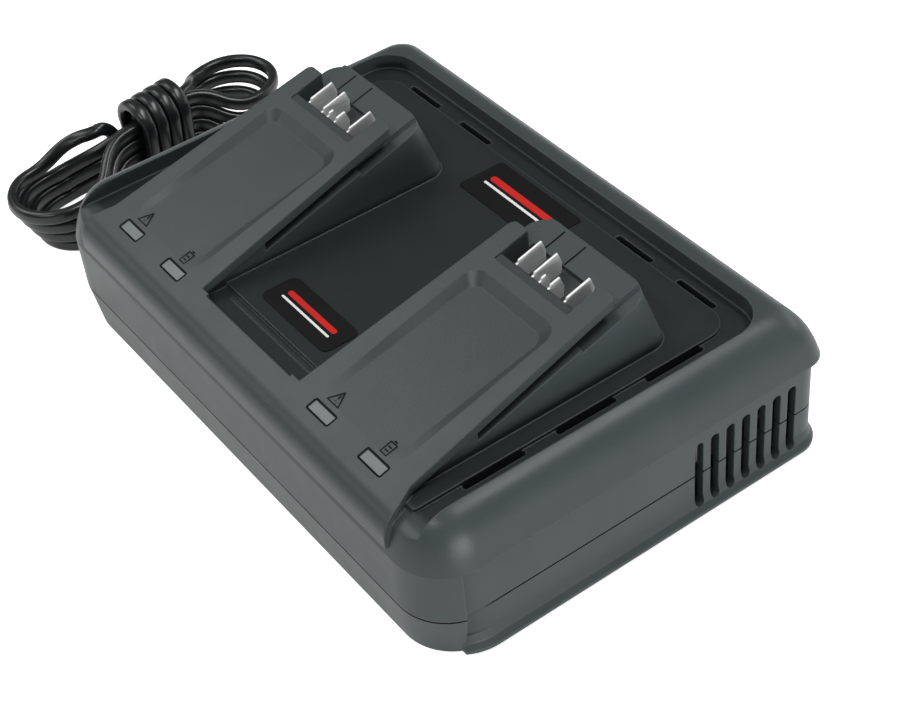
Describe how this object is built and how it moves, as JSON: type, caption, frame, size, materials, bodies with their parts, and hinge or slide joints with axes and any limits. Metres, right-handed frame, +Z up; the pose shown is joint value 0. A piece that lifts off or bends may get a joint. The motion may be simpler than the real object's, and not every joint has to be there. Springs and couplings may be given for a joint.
{
  "type": "battery charger",
  "caption": "Mains charger with two sloped slide-on battery bays, round bezel, side air slots, cooling fan inside, and a put-up mains lead with a flat plug.",
  "frame": {"origin": "on the floor, under the middle of the housing's outline, measured without the lead", "axes": "+Z up, +X along the long front edge to the vented end, +Y from the low front to the back"},
  "size_m": [0.3096, 0.1619, 0.078],
  "materials": {
    "housing_plastic": "fine spark-eroded grain, dark grey-green",
    "bay_plastic": "moulded, matt",
    "contact_metal": "bright tinned",
    "light_pipe": "frosted light grey",
    "board_green": "solder mask",
    "heat_sink": "extruded",
    "label_film": "satin black film",
    "cord_jacket": "soft glossy black",
    "pin_metal": "nickel plated",
    "fan_plastic": "black moulded",
    "foot_rubber": "matt",
    "screw_steel": "zinc plated",
    "core_ferrite": "ground ferrite",
    "winding_tape": "yellow tape",
    "capacitor_sleeve": "shrink sleeve",
    "choke_wire": "enamelled wire",
    "fuse_metal": "tinned clips",
    "terminal_plastic": "moulded"
  },
  "bodies": {
    "housing": {"upper_housing": "housing_plastic", "lower_housing": "housing_plastic", "rubber_feet": "foot_rubber", "case_screws": "screw_steel", "label_plate_front": "label_film", "label_plate_rear": "label_film", "circuit_board": "board_green", "transformer_core": "core_ferrite", "transformer_winding": "winding_tape", "heat_sink_left": "heat_sink", "heat_sink_right": "heat_sink", "bulk_capacitors": "capacitor_sleeve", "mains_choke": "choke_wire", "fuse_holder": "fuse_metal", "mains_terminal": "terminal_plastic", "fan_frame": "fan_plastic", "contact_carrier_left": "bay_plastic", "contact_blades_left": "contact_metal", "light_pipes_left": "light_pipe", "led_board_left": "board_green", "contact_carrier_right": "bay_plastic", "contact_blades_right": "contact_metal", "light_pipes_right": "light_pipe", "led_board_right": "board_green", "strain_relief": "cord_jacket", "cord_hank": "cord_jacket", "cord_lead": "cord_jacket", "cord_tail": "cord_jacket", "plug_body": "cord_jacket", "plug_pins": "pin_metal"},
    "fan": {"fan_rotor": "fan_plastic"}
  },
  "joints": [
    {"name": "fan_spin", "type": "hinge", "parent": "housing", "child": "fan", "pos_m": [0.097, 0.04321, 0.0255], "axis": [1, 0, 0], "continuous": true}
  ]
}
